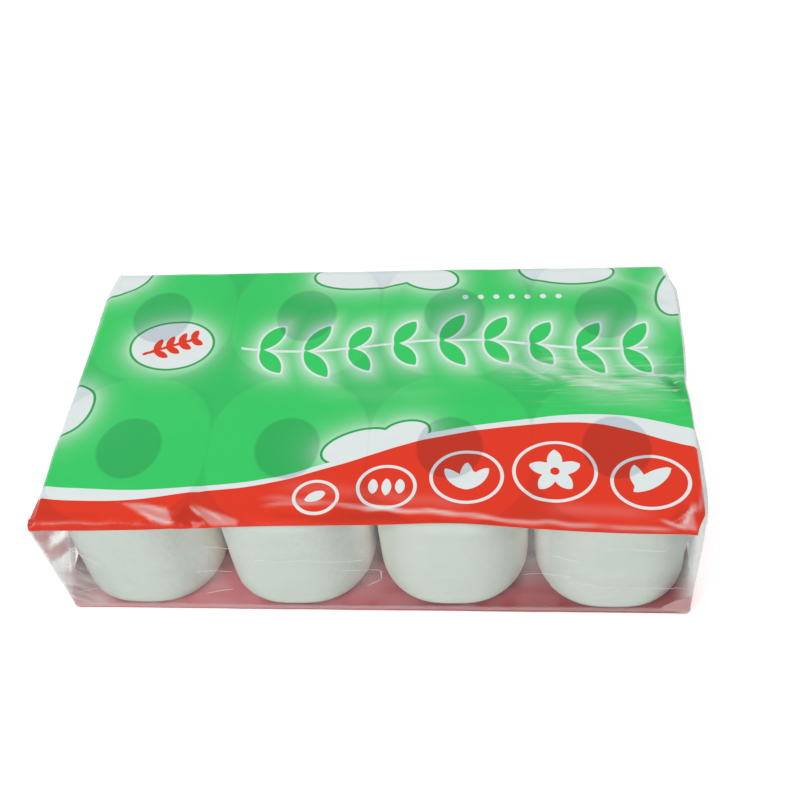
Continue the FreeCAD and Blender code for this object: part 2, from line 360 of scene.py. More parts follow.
# Wrapper: creases, as (from, to, width, height). A valley's height is less than zero

FAN_CREASES = (
    ((90, 20), (122, 2), 2.6, 0.8), ((98, 22), (135, 9), 2.6, 0.7), ((104, 14), (132, 2), 2.2, -0.6),
    ((118, 4), (202, -3), 2.8, 1.0), ((151, 2), (209, 3), 2.6, 0.8), ((128, 0), (200, -8), 3.0, -0.8),
    ((176, 16), (205, 0), 3.0, 1.1), ((185, 12), (207, -7), 2.6, -1.3), ((192, 8), (207, -13), 2.6, 1.0),
    ((197, 0), (208, -20), 3.0, -1.0), ((124, -3), (163, -11), 6.0, 0.7),
    ((160, -10), (207, -21), 6.0, 0.7), ((140, 12), (190, 12), 4.0, -0.6),
    ((150, 26), (205, 24), 5.0, 0.5), ((82, 27), (110, 15), 2.6, 0.5), ((60, 12), (100, 6), 4.0, 0.35),
    ((150, 34), (206, 40), 6.0, -0.4),
)
TOP_CREASES = (
    ((156, 106), (197, 85), 4.0, 0.7), ((166, 94), (204, 70), 5.0, -0.6),
    ((148, 113), (182, 99), 4.0, 0.5), ((172, 84), (206, 52), 6.0, 0.5),
    ((-208, 60), (-165, 66), 8.0, 0.5), ((-209, 10), (-150, 16), 9.0, 0.4),
    ((-40, -8), (40, 0), 8.0, 0.4), ((-20, 72), (60, 64), 9.0, 0.4), ((20, -20), (110, -16), 6.0, 0.4),
    ((-202, 96), (-170, 84), 5.0, 0.5), ((-120, 60), (-95, 110), 7.0, -0.4),
    ((100, 60), (110, 110), 7.0, -0.4), ((-70, -20), (-10, -34), 7.0, 0.35),
    ((-150, -40), (-100, -20), 7.0, 0.35),
)
FRONT_CREASES = (
    ((-153, -97), (-122, -112), 3.0, 1.0), ((-111, -96), (-120, -114), 2.4, 1.1),
    ((-111, -96), (-95, -114), 2.4, 1.0), ((-110, -108), (-104, -116), 4.0, -1.2),
    ((-96, -102), (-74, -110), 3.5, 0.9), ((-140, -108), (-112, -118), 4.0, -0.8),
    ((-70, -98), (30, -100), 3.5, 0.9), ((-5, -99), (92, -107), 3.0, 1.2),
    ((60, -106), (160, -112), 3.2, 1.0), ((0, -106), (95, -112), 4.0, -1.1),
    ((-60, -106), (10, -108), 5.0, -0.7), ((90, -99), (190, -106), 7.0, -0.6),
    ((95, -111), (195, -114), 3.0, 0.8), ((200, -94), (196, -113), 2.6, 1.2),
    ((190, -108), (203, -116), 2.6, -1.2), ((-208, -112), (-140, -112), 3.0, 0.8),
    ((-206, -104), (-160, -106), 5.0, -0.6), ((176, -88), (206, -70), 6.0, 0.6),
)
CREASES = FAN_CREASES + TOP_CREASES + FRONT_CREASES

# On the clear long sides, from and to in (x, z)
SIDE_CREASES = (
    ((-130, 52), (-78, 56), 2.2, 0.7), ((-28, 54), (28, 56), 2.2, 0.8), ((78, 55), (140, 58), 2.2, 0.7),
    ((-206, 40), (-168, 24), 3.0, 0.9), ((-208, 70), (-184, 48), 3.0, 0.9),
    ((-150, 20), (-96, 12), 2.6, 0.5), ((-120, 84), (-100, 60), 3.0, 0.7),
    ((168, 60), (208, 44), 3.0, 0.7), ((120, 70), (196, 60), 2.6, 0.6), ((110, 40), (206, 34), 2.6, 0.6),
    ((-14, 30), (10, 42), 2.2, 0.8), ((150, 82), (206, 72), 3.0, 0.6),
)


CREASE_WANDER = 1.2  # how far a crease strays from its straight line


def crease_places(x, y, crease):
    """For one crease: the share of the way along it, and the distance to one side of it."""
    (x0, y0), (x1, y1) = crease[:2]
    length = math.hypot(x1 - x0, y1 - y0)
    along = ((x - x0) * (x1 - x0) + (y - y0) * (y1 - y0)) / length ** 2
    across = ((x - x0) * (y1 - y0) - (y - y0) * (x1 - x0)) / length
    return along, across + CREASE_WANDER * noise(along * length, np.full(x.shape, float(x0)), 14.0, 3)


def crease_height(x, y, creases):
    """How far creases lift the film, each fading out at both ends."""
    height = np.zeros(x.shape)
    for crease in creases:
        along, across = crease_places(x, y, crease)
        taper = smooth(0.0, 0.3, along) * smooth(1.0, 0.7, along)
        height += crease[3] * taper * np.exp(-2 * np.abs(across / crease[2]) ** 1.3)
    return height


# Facets on the front edge of the top, lit and shaded by painted light: corners, anticlockwise, and how much
# paler or darker they are painted
FACET_LIGHT = (
    (((-153, -97), (-125, -113), (-117, -113), (-124, -100)), 0.34),
    (((-120, -113), (-96, -113), (-111, -97)), -0.26),
    (((-111, -97), (-94, -113), (-78, -113), (-76, -108), (-92, -104)), 0.30),
    (((190, -112), (203, -115), (200, -104)), 0.30),
)
FACET_FRINGE = 1.2

# Strokes of painted highlight and painted shade along the folds: from, to, width, strength
STROKE_LIGHT = (
    ((-208, -112), (-150, -111), 1.0, 0.10), ((-64, -98), (-20, -97), 1.0, 0.30),
    ((-24, -97), (30, -102), 0.9, 0.45), ((-2, -100), (40, -104), 1.1, 0.70),
    ((28, -103), (82, -106), 1.0, 0.55), ((36, -101), (60, -104), 0.7, 0.40),
    ((62, -107), (112, -111), 0.9, 0.50), ((100, -110), (150, -113), 0.9, 0.42),
    ((144, -112), (192, -114), 0.9, 0.35), ((-20, -105), (40, -107), 2.2, -0.30),
    ((30, -109), (96, -111), 1.8, -0.28), ((-66, -92), (-16, -97), 1.4, 0.18),
    ((-62, -106), (-10, -108), 1.4, -0.20), ((-150, -97), (-118, -104), 1.0, 0.30),
    ((-143, -104), (-119, -112), 0.8, 0.35), ((-110, -98), (-101, -108), 0.7, 0.50),
    ((-108, -97), (-84, -112), 0.7, 0.35), ((-205, -104), (-160, -108), 2.0, -0.14),
    ((-58, -84), (10, -88), 3.0, 0.07), ((0, -90), (70, -98), 3.0, 0.08),
    ((110, -100), (180, -104), 3.0, 0.10), ((200, -95), (196, -113), 1.0, 0.55),
    ((194, -95), (190, -113), 1.8, -0.25), ((203, -98), (186, -112), 0.8, 0.40),
    ((180, -108), (200, -114), 0.8, 0.45), ((206, -80), (203, -104), 1.0, 0.25),
    ((90, 20), (122, 2), 1.2, 0.45), ((98, 22), (135, 9), 1.2, 0.40), ((104, 16), (134, 4), 1.2, 0.35),
    ((118, 4), (202, -3), 1.2, 0.42), ((128, 1), (170, -4), 1.2, 0.35), ((151, 2), (209, 3), 1.2, 0.25),
    ((110, 24), (160, 12), 1.2, 0.25), ((185, 12), (207, -7), 2.0, -0.45),
    ((195, 5), (207, -14), 2.0, -0.40), ((176, 16), (205, 2), 1.4, 0.30),
    ((124, -3), (200, -16), 7.0, 0.22), ((170, 14), (204, 8), 3.0, -0.20),
    ((156, 106), (197, 85), 2.0, 0.16), ((166, 94), (204, 70), 3.0, -0.16),
    ((70, 24), (110, 16), 1.2, 0.22), ((-40, -10), (60, -6), 4.0, 0.07),
    ((-120, 60), (-95, 110), 4.0, -0.07), ((100, 60), (110, 110), 4.0, -0.07),
)

# Fine lines of painted glint on the clear sides, in (x, z)
SIDE_GLINTS = (
    ((-104, 76), (-82, 74)), ((-116, 45), (-88, 47)), ((-19, 50), (10, 50)), ((-81, 61), (5, 62)),
    ((9, 50), (8, 38)), ((8, 38), (-4, 29)), ((-114, 18), (-92, 24)), ((-202, 19), (-183, 27)),
    ((97, 46), (132, 46)), ((114, 70), (136, 61)), ((125, 39), (160, 32)), ((160, 32), (206, 31)),
    ((-204, 62), (-188, 40)), ((-190, 78), (-176, 52)), ((150, 80), (188, 76)), ((30, 16), (52, 22)),
)
LINE_WINDOW = 4.0  # how far to each side of it a fine line's distance is worked out
CORNER_VEIL = 0.42  # how milky the front film is at its lower left corner
CLEARER_FROM_LEFT, CLEARER_FROM_RIGHT = 52.0, 84.0  # the folded ends are clearer near their corners


def patch(x, y, corners):
    """Distance from a convex patch, less than zero inside it."""
    edges = []
    for (x0, y0), (x1, y1) in zip(corners, corners[1:] + corners[:1]):
        length = math.hypot(x1 - x0, y1 - y0)
        edges.append(((x - x0) * (y1 - y0) - (y - y0) * (x1 - x0)) / length)
    return np.maximum.reduce(edges)


def painted_fold_light(x, y):
    """Painted light on the folded film: how much paler (above zero, a painted highlight) or darker (a painted
    shade) it is drawn.
    """
    fold_light = np.zeros(x.shape)
    for corners, strength in FACET_LIGHT:
        fold_light += strength * smooth(FACET_FRINGE, -FACET_FRINGE, patch(x, y, corners))
    for stroke in STROKE_LIGHT:
        along, across = crease_places(x, y, stroke)
        taper = smooth(-0.05, 0.3, along) * smooth(1.05, 0.7, along)
        fold_light += stroke[3] * taper * lobe(across, stroke[2])
    return fold_light


def glint_lines(x, z):
    """Signed distance from the nearest painted glint line, and how strongly it shows."""
    reach, gain = np.full(x.shape, FAR), np.zeros(x.shape)
    for line in SIDE_GLINTS:
        along, across = crease_places(x, z, line)
        strength = smooth(-0.02, 0.12, along) * smooth(1.02, 0.88, along)
        strength = strength * smooth(LINE_WINDOW, LINE_WINDOW / 2, np.abs(across))
        nearer = (np.abs(across) < np.abs(reach)) & (strength > 0)
        reach, gain = np.where(nearer, across, reach), np.where(nearer, strength, gain)
    return reach, gain


# Wrapper: its form

FILM_SLACK = 0.8  # how far the film lies inside its main form
SAG_GAPS = 1.4  # how far the top sinks over the gaps between the rolls
SAG_HOLES = 0.8  # and over their holes
SAG_SIDES = 1.2  # how far the long sides sink between the rolls
LEAST_SLACK = 0.02

# (place along Y, spread, how far it leans out) for the left end, -1, and the right end, 1
END_BULGES = {
    -1: ((-114, 14, 3.6), (-60, 40, 1.2)),
    1: ((-78, 26, 3.0), (52, 30, 1.2), (4, 13, -1.8), (-118, 12, -2.6)),
}
END_ROUNDING = 3.0  # least rounding of the upper edge of an end
FOLDS_SHORT = 0.6  # how far the folds stay inside their reach


def sheet_height(x, y, z, stretch, sheet):
    """How far the film lies out from its main form. It is never above zero."""
    on_top, on_side = np.isin(stretch, ON_TOP), np.isin(stretch, ON_SIDES)
    height = 0.3 * noise(x, sheet, 26.0, 1) - FILM_SLACK + 0.1 * noise(x, sheet, 8.0, 2)
    inside = smooth(-2, 10, HALF_Y - UPPER_EDGE / 2 - np.abs(y))
    sag = SAG_GAPS * smooth(0, 12, gap_depth(x, y)) * inside + SAG_HOLES * smooth(1, -9, bore_distance(x, y))
    height -= np.where(on_top, sag, 0)
    height += np.where(on_top, crease_height(x, np.clip(sheet, -HALF_Y, HALF_Y), CREASES), 0)
    valley = SAG_SIDES * smooth(24, 0, from_seam(x)) * smooth(0, 30, z) * smooth(TOP, TOP - 30, z)
    height -= np.where(on_side, valley, 0)
    side = crease_height(np.where(y > 0, -x, x), z, SIDE_CREASES) + 0.2 * noise(x * 0.5, z, 6.0, 8)
    height += np.where(on_side, side, 0)
    base = -0.05 - 0.1 * (1 + noise(x, y, 15.0, 4))
    height = np.where(np.isin(stretch, ON_BASE), base, height)
    return np.minimum(height, -LEAST_SLACK)


def end_bulge(side, y, z):
    """How far an end leans out from its foot."""
    rise = np.clip(z / TOP, 0, 1) ** 1.3
    out = sum(reach * lobe(y - place, spread) for place, spread, reach in END_BULGES[side])
    return rise * (out + 0.5 * noise(y, z, 18.0, 40 + side))


def end_rounding(side, y):
    """How far the upper edge of an end is pulled round the rolls."""
    if side > 0:
        return END_ROUNDING + 20.0 * smooth(84, 118, y) + 2.0 * smooth(40, 0, np.abs(y - 4))
    return END_ROUNDING + 9.0 * smooth(-70, 70, y) + 9.0 * smooth(90, 118, y)


def flap_height(side, y, z, normal, rim_y, share):
    """How far the folded end stands out at a place on an end wall."""
    flap = smooth(0.6, 0.8, np.abs(normal[1]))
    gathers = np.abs(noise(rim_y, np.zeros(y.shape), 9.0, 21 + side))
    gathers = gathers + 0.7 * np.abs(noise(rim_y, np.zeros(y.shape), 4.0, 25 + side))
    puff = 0.5 * np.sin(math.pi * share) + 0.25 * noise(y, z, 16.0, 30 + side)
    out = 0.9 + 0.5 * share + puff + 1.3 * gathers * share
    tucked = -1.1 * smooth(0.05, 0.5, share) + 0.5 * noise(z + 0.4 * y, y * 0.6, 8.0, 34 + side)
    return np.minimum(tucked + (out - tucked) * flap, FOLDS_OUT - FOLDS_SHORT)


def end_columns(row_yz, normal, side, inset):
    """Columns of points from the round edge of an end to the weld in its middle."""
    y, z = row_yz
    target_y = np.clip(y, MIDDLE - HALF_Y, HALF_Y - MIDDLE)
    columns = []
    for angle in np.linspace(0, math.pi / 2, ARC_END + 1)[1:]:
        edge = END_EDGE * (1 - math.cos(angle))
        edge_y, edge_z = y - normal[0] * edge, z - normal[1] * edge
        x = side * (HALF_X - END_EDGE * (1 - math.sin(angle)) + end_bulge(side, edge_y, edge_z) - inset)
        columns.append(np.stack([x, edge_y, edge_z], 1))
    rim_y, rim_z = y - normal[0] * END_EDGE, z - normal[1] * END_EDGE
    for share in np.linspace(0, 1, CAP_STEPS + 1)[1:]:
        cap_y = rim_y + (target_y - rim_y) * share
        cap_z = rim_z + (MIDDLE - rim_z) * share
        out = flap_height(side, cap_y, cap_z, normal, y, share) * min(1.0, 5 * share) - inset
        columns.append(np.stack([side * (HALF_X + out + end_bulge(side, cap_y, cap_z)), cap_y, cap_z], 1))
    return columns


def round_off(points, side):
    """Pulls the upper edge of an end round, by moving the points outside an arc onto it."""
    radius = end_rounding(side, points[..., 1])
    inward = radius - (HALF_X - side * points[..., 0])
    upward = radius - (TOP - points[..., 2])
    length = np.hypot(inward, upward)
    outside = (inward > 0) & (upward > 0) & (length > radius)
    pull = np.where(outside, radius / np.maximum(length, 1e-6), 1.0)
    points[..., 0] -= side * inward * (1 - pull)
    points[..., 2] -= upward * (1 - pull)


def wrapper_grid(coarse=1.0, inset=0.0):
    """All points of the wrapper, as columns along the pack by rows round it.

    With them come the rows' stretches and places on the sheet, and the columns' places along it.
    """
    row_yz, normal, stretch, sheet = section(coarse)
    y, z = row_yz
    half_tube = HALF_X - END_EDGE
    count = int(round(half_tube / STEP_X / coarse)) * 2
    tube = []
    for x in np.linspace(-half_tube, half_tube, count + 1):
        side = 1 if x > 0 else -1
        out = sheet_height(np.full(y.shape, x), y, z, stretch, sheet)
        out = out * smooth(half_tube, HALF_X - 12, abs(x)) - inset
        bulge = end_bulge(side, y, z) * smooth(HALF_X - 45, half_tube, abs(x))
        tube.append(np.stack([x + side * bulge, y + normal[0] * out, z + normal[1] * out], 1))
    left = end_columns(row_yz, normal, -1, inset)[::-1]
    right = end_columns(row_yz, normal, 1, inset)
    grid = np.array(left + tube + right)
    half = len(left) + count // 2
    round_off(grid[:half], -1)
    round_off(grid[half:], 1)
    from_middle = np.arange(len(grid)) - half
    along = from_middle * (2 * half_tube / count)
    beyond = np.abs(from_middle) - count // 2
    on_arc = beyond * END_ARC / ARC_END
    on_wall = END_ARC + (beyond - ARC_END) * MIDDLE / CAP_STEPS
    past_tube = np.where(beyond > ARC_END, on_wall, on_arc)
    along = np.where(beyond > 0, np.sign(along) * (half_tube + past_tube), along)
    return grid, stretch, sheet, along


# Print: shapes as distances, less than zero inside

def oval(x, y, half_x, half_y):
    """Distance from an oval, close to the true one near its line."""
    first = np.hypot(x / half_x, y / half_y)
    second = np.hypot(x / half_x ** 2, y / half_y ** 2)
    return first * (first - 1) / np.maximum(second, 1e-6)


def turned(x, y, at, degrees):
    """Places as seen from a point, turned back by an angle."""
    cos, sin = math.cos(math.radians(degrees)), math.sin(math.radians(degrees))
    away_x, away_y = x - at[0], y - at[1]
    return away_x * cos + away_y * sin, away_y * cos - away_x * sin


def leaf(x, y, at, degrees, length, width):
    """A leaf of two arcs that meet in points at its ends."""
    u, v = turned(x, y, at, degrees)
    radius = (length ** 2 + width ** 2) / (4 * width)
    return np.hypot(u, np.abs(v) + radius - width / 2) - radius


def stalked_leaf(x, y, foot, degrees, length, width):
    """A leaf that starts at its foot."""
    reach, way = length / 2, math.radians(degrees)
    at = (foot[0] + reach * math.cos(way), foot[1] + reach * math.sin(way))
    return leaf(x, y, at, degrees, length, width)


def pebble(x, y, at, degrees, length, width):
    u, v = turned(x, y, at, degrees)
    return oval(u, v, length / 2, width / 2)


def bar(x, y, start, end, half_width):
    """A bar with round ends."""
    away_x, away_y = x - start[0], y - start[1]
    way_x, way_y = end[0] - start[0], end[1] - start[1]
    share = np.clip((away_x * way_x + away_y * way_y) / (way_x ** 2 + way_y ** 2), 0, 1)
    return np.hypot(away_x - share * way_x, away_y - share * way_y) - half_width


# Print: what is drawn, in (x, place on the sheet)

RED_LINE = ((-212, -93.4), (-184, -95.0), (-142, -93.6), (-117, -89.3), (-69, -83.0), (-20, -67.7),
            (38, -45.9), (88, -36.5), (126, -33.1), (147, -34.3), (170, -40.2), (190, -48.3), (214, -57))
RIM_LINE = ((-212, -84.0), (-184, -85.5), (-142, -86.4), (-117, -84.5), (-69, -79.0), (-20, -63.6),
            (38, -41.6), (88, -32.0), (123, -27.3), (147, -26.5), (171, -28.7), (192, -34.1), (214, -42))
WRAP_LINE = ((-212, 11.2), (-186, 11.2), (-115, 9.4), (-68, 7.4), (10, 6.0), (60, 4.6), (97, 7.4),
             (150, 10.6), (214, 12.0))  # down the front edge
BACK_WRAP = 8.0
LEFT_WRAP = 34.0  # how far the upper print goes down the left end
RIGHT_STOP = 0.9  # how far it stops before the right end's wall
BASE_RISE = 0.7  # how far the lower print goes up the clear sides
CORNER_PRINTS = ((-192.0, 20.0), (180.0, 29.0))  # where it starts on each clear side, and how high it rises
BASE_WRAP_LEFT = 14.0  # how far it goes up each end
BASE_WRAP_RIGHT = 9.0

OUTSIDE_PRINT = -20.0  # a distance well outside it

GARLAND_FROM, GARLAND_TO, GARLAND_Y, GARLAND_WAVE = -82.0, 168.0, 36.0, 5.0
GARLAND_PAIRS = 9
GARLAND_TILTS = (56, -52)
GARLAND_LEAF, GARLAND_LEAF_VARIES, GARLAND_LEAF_WIDE = 27.0, 3.0, 12.0
STEM_HALF = 1.1
PLATE_AT, PLATE_SIZE = (-146.0, 38.0), (58.0, 44.0)
PEBBLES = (((-8, 108), 6, 84, 30), ((34, 102), -12, 40, 22), ((132, 108), -5, 66, 26),
           ((-200, 104), 24, 52, 30), ((-6, -52), 20, 48, 24), ((24, -41), 14, 30, 18),
           ((-208, -22), 66, 46, 32), ((208, 84), 70, 46, 26))
RINGS = (((-30, -92), 13.0), ((14, -84), 17.0), ((64, -76), 21.0), ((119, -72), 24.0), ((176, -80), 21.0))
RING_WIDE, RING_TALL = 2.12, 1.88  # a ring's size as shares of its radius
FLOWER_AT = (119, -72)
DOT = 4.6
DOTS_AT, DOTS_STEP, DOTS = (60.0, 82.0), 11.0, 7


def garland_line(x):
    return GARLAND_Y + GARLAND_WAVE * np.sin(x / 34.0)


def garland(x, y):
    """Leaves in pairs along a wavy stem."""
    leaves = []
    for index, place in enumerate(np.linspace(GARLAND_FROM, GARLAND_TO, GARLAND_PAIRS)):
        size = GARLAND_LEAF + GARLAND_LEAF_VARIES * math.sin(index * 1.9)
        foot = (place, float(garland_line(place)))
        leaves += [stalked_leaf(x, y, foot, tilt, size, GARLAND_LEAF_WIDE) for tilt in GARLAND_TILTS]
    return np.minimum.reduce(leaves)


def garland_stem(x, y):
    ends = np.maximum(GARLAND_FROM - 14 - x, x - GARLAND_TO - 16)
    return np.maximum(np.abs(y - garland_line(x)) - STEM_HALF, ends)


def white_shapes(x, y):
    pebbles = [pebble(x, y, at, tilt, length, width) for at, tilt, length, width in PEBBLES]
    return np.minimum.reduce(pebbles + [pebble(x, y, PLATE_AT, 0, *PLATE_SIZE)])


def rings(x, y):
    return np.minimum.reduce([pebble(x, y, at, 0, RING_WIDE * r, RING_TALL * r) for at, r in RINGS])


def signs(x, y):
    """White signs in the rings: leaves, drops and a flower of five leaves."""
    shapes = [stalked_leaf(x, y, (-37, -95), 28, 15, 7.5)]
    for k in (-1, 0, 1):
        shapes.append(stalked_leaf(x, y, (14 + 8.5 * k, -91 + 1.5 * abs(k)), 90, 14 - 2 * abs(k), 6.2))
    shapes += [stalked_leaf(x, y, (64, -86), tilt, 22, 8.5) for tilt in (50, 90, 130)]
    shapes += [stalked_leaf(x, y, FLOWER_AT, 18 + 72 * k, 17, 9.5) for k in range(5)]
    shapes += [stalked_leaf(x, y, (166, -88), 40, 30, 11), stalked_leaf(x, y, (170, -86), 96, 20, 8)]
    return np.minimum.reduce(shapes)


def dots(x, y):
    places = [(DOTS_AT[0] + DOTS_STEP * k, DOTS_AT[1]) for k in range(DOTS)]
    return np.minimum.reduce([pebble(x, y, at, 0, DOT, DOT) for at in places])


def sprig(x, y):
    """A red sprig on the white plate, and the flower's red eye."""
    foot = (PLATE_AT[0] - 19, PLATE_AT[1] - 8)
    shapes = [bar(x, y, foot, (foot[0] + 36, foot[1] + 14.2), 1.3), pebble(x, y, FLOWER_AT, 0, 6, 6)]
    for step in range(4):
        at = (foot[0] + 7 + 8.5 * step, foot[1] + 2.8 + 3.4 * step)
        shapes += [stalked_leaf(x, y, at, tilt, 13.0 - step, 5.4) for tilt in (72, -30)]
    return np.minimum.reduce(shapes)


def corner_print(x, z):
    """The lower print where it is pulled up at the clear sides' corners."""
    pulled = []
    for (foot, rise), side in zip(CORNER_PRINTS, (-1, 1)):
        end = side * (HALF_X + 3)
        corners = ((foot, -2), (end, -2), (end, rise))
        pulled.append(patch(x, z, corners if side > 0 else corners[::-1]))
    return np.minimum.reduce(pulled) + 0.8 * noise(x, z, 5.0, 15)


def print_edges(x, y, sheet, stretch):
    """How far a place lies inside the upper print."""
    front = sheet + FLAT_TOP + curve_through(WRAP_LINE, x)
    back = FLAT_TOP + BACK_WRAP - sheet
    right = HALF_X - RIGHT_STOP - 2.5 * smooth(60, 115, y) - 3.5 * smooth(-100, -118, y)
    right += 0.5 * noise(y, y * 0, 17.0, 12)
    left = HALF_X + LEFT_WRAP + 3 * noise(y, y * 0, 23.0, 13)
    edge = np.minimum(np.minimum(front, back), np.minimum(right - x, left + x))
    return np.where(np.isin(stretch, ON_TOP), edge, OUTSIDE_PRINT)


def base_edges(x, y, z, stretch):
    """How far a place lies inside the lower print."""
    reach = np.where(x > 0, BASE_WRAP_RIGHT, BASE_WRAP_LEFT) + 2 * noise(y, y * 0, 19.0, 14)
    on_wall = np.abs(x) > HALF_X
    edge = np.where(on_wall, HALF_X + reach - np.abs(x), BASE_RISE - z)
    return np.where(np.isin(stretch, ON_BASE), edge, OUTSIDE_PRINT)


def film_milk(x, y, z, w, stretch, on_front):
    """How milky the clear film is: more on the folded ends, between the rolls and at one corner."""
    ends = smooth(HALF_X - 14, HALF_X + 2, np.abs(x))
    by_corner = smooth(np.where(x > 0, CLEARER_FROM_RIGHT, CLEARER_FROM_LEFT), HALF_Y, np.abs(y))
    milk = 0.08 + ends * np.where(x > 0, 0.72 - 0.18 * by_corner, 0.44 - 0.32 * by_corner)
    milk += 0.04 * noise(x, z, 9.0, 31) + np.where(x > 0, 0.10, 0.14) * ends * noise(w, x * 0.3, 5.0, 32)
    milk += np.where(stretch != ABOVE, 0.17 * lobe(from_seam(x), 6) * smooth(10, 55, z), 0)
    veil = smooth(-168, -190, x) * smooth(70, 36, z) * (0.7 + 0.3 * noise(z + 0.75 * x, x * 0.4, 5.0, 33))
    milk += np.where(on_front, CORNER_VEIL * veil, 0)
    return np.clip(milk, 0.04, 0.9)


def pale_glow(white, leaves):
    """How pale the green is round the white shapes and the leaves."""
    round_white = 0.8 * np.exp(-np.maximum(white, 0) / 6.0)
    round_leaves = 0.75 * np.exp(-(np.maximum(leaves, 0) / 7.0) ** 1.2)
    return np.maximum(round_white, round_leaves)


def ink_fields(grid, stretch, sheet, along):
    """The fields of ink, as distances, and how the film shows what lies under it."""
    shape = grid.shape[:2]
    x = np.repeat(along[:, None], shape[1], 1)
    w = np.repeat(sheet[None, :], shape[0], 0)
    y, z = np.clip(w, -HALF_Y, HALF_Y), grid[..., 2]
    stretch = stretch[None, :]
    on_side = np.isin(stretch, ON_SIDES)
    on_front = on_side & (grid[..., 1] < 0)
    white, leaves = white_shapes(x, w), garland(x, w)
    seen_y = y - HOLE_SHIFT - HOLE_SHIFT_GROWS * y
    line, glint_gain = glint_lines(np.where(grid[..., 1] > 0, -x, x), z)
    return {
        "ink_red": curve_through(RED_LINE, x) - w,
        "ink_rim": curve_through(RIM_LINE, x) - w,
        "ink_white": white,
        "ink_leaf": leaves,
        "ink_stem": garland_stem(x, w),
        "ink_ring": rings(x, w),
        "ink_sign": signs(x, w),
        "ink_dots": dots(x, w),
        "ink_sprig": sprig(x, w),
        "glow": pale_glow(white, leaves),
        "hole": bore_distance(x, seen_y),
        "gap": 9.0 - gap_depth(x, seen_y),
        "ink_edge": print_edges(x, y, w, stretch),
        "ink_base": base_edges(x, y, z, stretch),
        "ink_corner": np.where(on_front, corner_print(x, z), FAR),
        "fold_light": painted_fold_light(x, w),
        # where the fold fan gets painted highlight and shade streaks
        "fan": lobe(w - 4 + 0.12 * (x - 150), 12) * smooth(84, 120, x),
        "line": line,
        "glint_gain": np.where(on_side, glint_gain, 0),
        "milk": film_milk(x, y, z, w, stretch, on_front),
    }


def make_wrapper(material):
    grid, stretch, sheet, along = wrapper_grid()
    columns, rows = grid.shape[:2]
    wrapper = make_object("wrapper", grid.reshape(-1, 3), ring_faces(columns, rows, False)[:, ::-1])
    set_fields(wrapper, ink_fields(grid, stretch, sheet, along))
    nodes = ["film_wrapper", "print_green_field", "print_white_plate", "print_white_wave", "print_red_band",
             "print_underside"]
    dress(wrapper, material, nodes)


def inside_fields(grid, stretch, along):
    """The print as it shows on the film's inside, how much it covers, and where painted light and painted
    highlight streaks go.
    """
    x = np.repeat(along[:, None], grid.shape[1], 1)
    y, z = grid[..., 1], grid[..., 2]
    right = x > 0
    past = np.abs(x) - HALF_X
    on_wall = smooth(0, 3, past)
    on_floor = np.isin(stretch, ON_BASE)[None, :] & (past < 3)
    reach = np.where(right, BASE_WRAP_RIGHT, BASE_WRAP_LEFT) + 5 * noise(y, z * 0, 15.0, 50)
    corner = np.where(right, 24, 16) * smooth(-86, -116, y)  # the print is pulled up at the front corners
    lower = smooth(reach + corner + 3, reach + corner - 3, z)
    slant = z + 0.75 * (y + HALF_Y)
    bands = smooth(-0.25, 0.15, noise(slant * 0.5, y * 0.2, 6.0, 54))
    lower = np.where(right, lower, np.maximum(lower, 0.9 * bands * smooth(-64, -100, y)))
    down = TOP - z + 6 * noise(y, y * 0, 5.0, 53)
    upper = np.where(x < 0, smooth(LEFT_WRAP + 10, LEFT_WRAP - 4, down), 0)
    # painted highlight streaks on the crinkled end walls
    streaks = smooth(0.1, 0.6, noise(slant, y * 0.35, 5.0, 51) + 0.4 * noise(slant, y, 2.6, 52))
    red = upper * smooth(-74, -84, y) * on_wall
    pink = np.where(on_floor, 1.0, lower * on_wall)
    green = upper * smooth(-90, -80, y) * on_wall
    printed = np.maximum(np.maximum(pink, red), green)
    cover = np.where(right, 0.30 * smooth(-112, -90, y) + 0.6 * printed, 0.06 + 0.80 * printed)
    cover = np.clip((cover + 0.1 * streaks) * on_wall, 0, 0.95)
    return {
        "pink": pink,
        "red": red,
        "green": green,
        # painted light: a paler pink towards the left end of the floor and on the end walls
        "pale": np.where(on_floor, smooth(150, -170, x), 1.0),
        "streaks": streaks * on_wall,
        "cover": np.where(on_floor, 1.0, cover),
    }


def make_inside(material):
    """The inside of the film where it is printed or folded: under the rolls and at the ends."""
    grid, stretch, _, along = wrapper_grid(INNER_COARSE, INNER_INSET)
    columns, rows = grid.shape[:2]
    faces = ring_faces(columns, rows, False)
    column, row = faces[:, 0] // rows, faces[:, 0] % rows
    base = np.isin(stretch, ON_BASE)[row]
    ends = np.abs(along[column]) > HALF_X - END_EDGE
    inside = make_object("wrapper_inside", grid.reshape(-1, 3), faces[base | ends])
    set_fields(inside, inside_fields(grid, stretch, along))
    dress(inside, material)


# The welded fins

FIN_TALL = 9.0
FIN_ABOVE = 1.2  # how far it reaches above the weld
FIN_ALONG = 240
FIN_THICK = 0.45
FIN_OVER = 0.35  # how far it lies outside the flap that it is folded on
FIN_MOST = 5.0  # the most that it stands out
FIN_STEPS = 8
RIB_PITCH = 3.2  # of the weld's crimps
RIB_RISE = 0.08
FIN_END = 4.0  # how far a fin reaches past the end of the weld


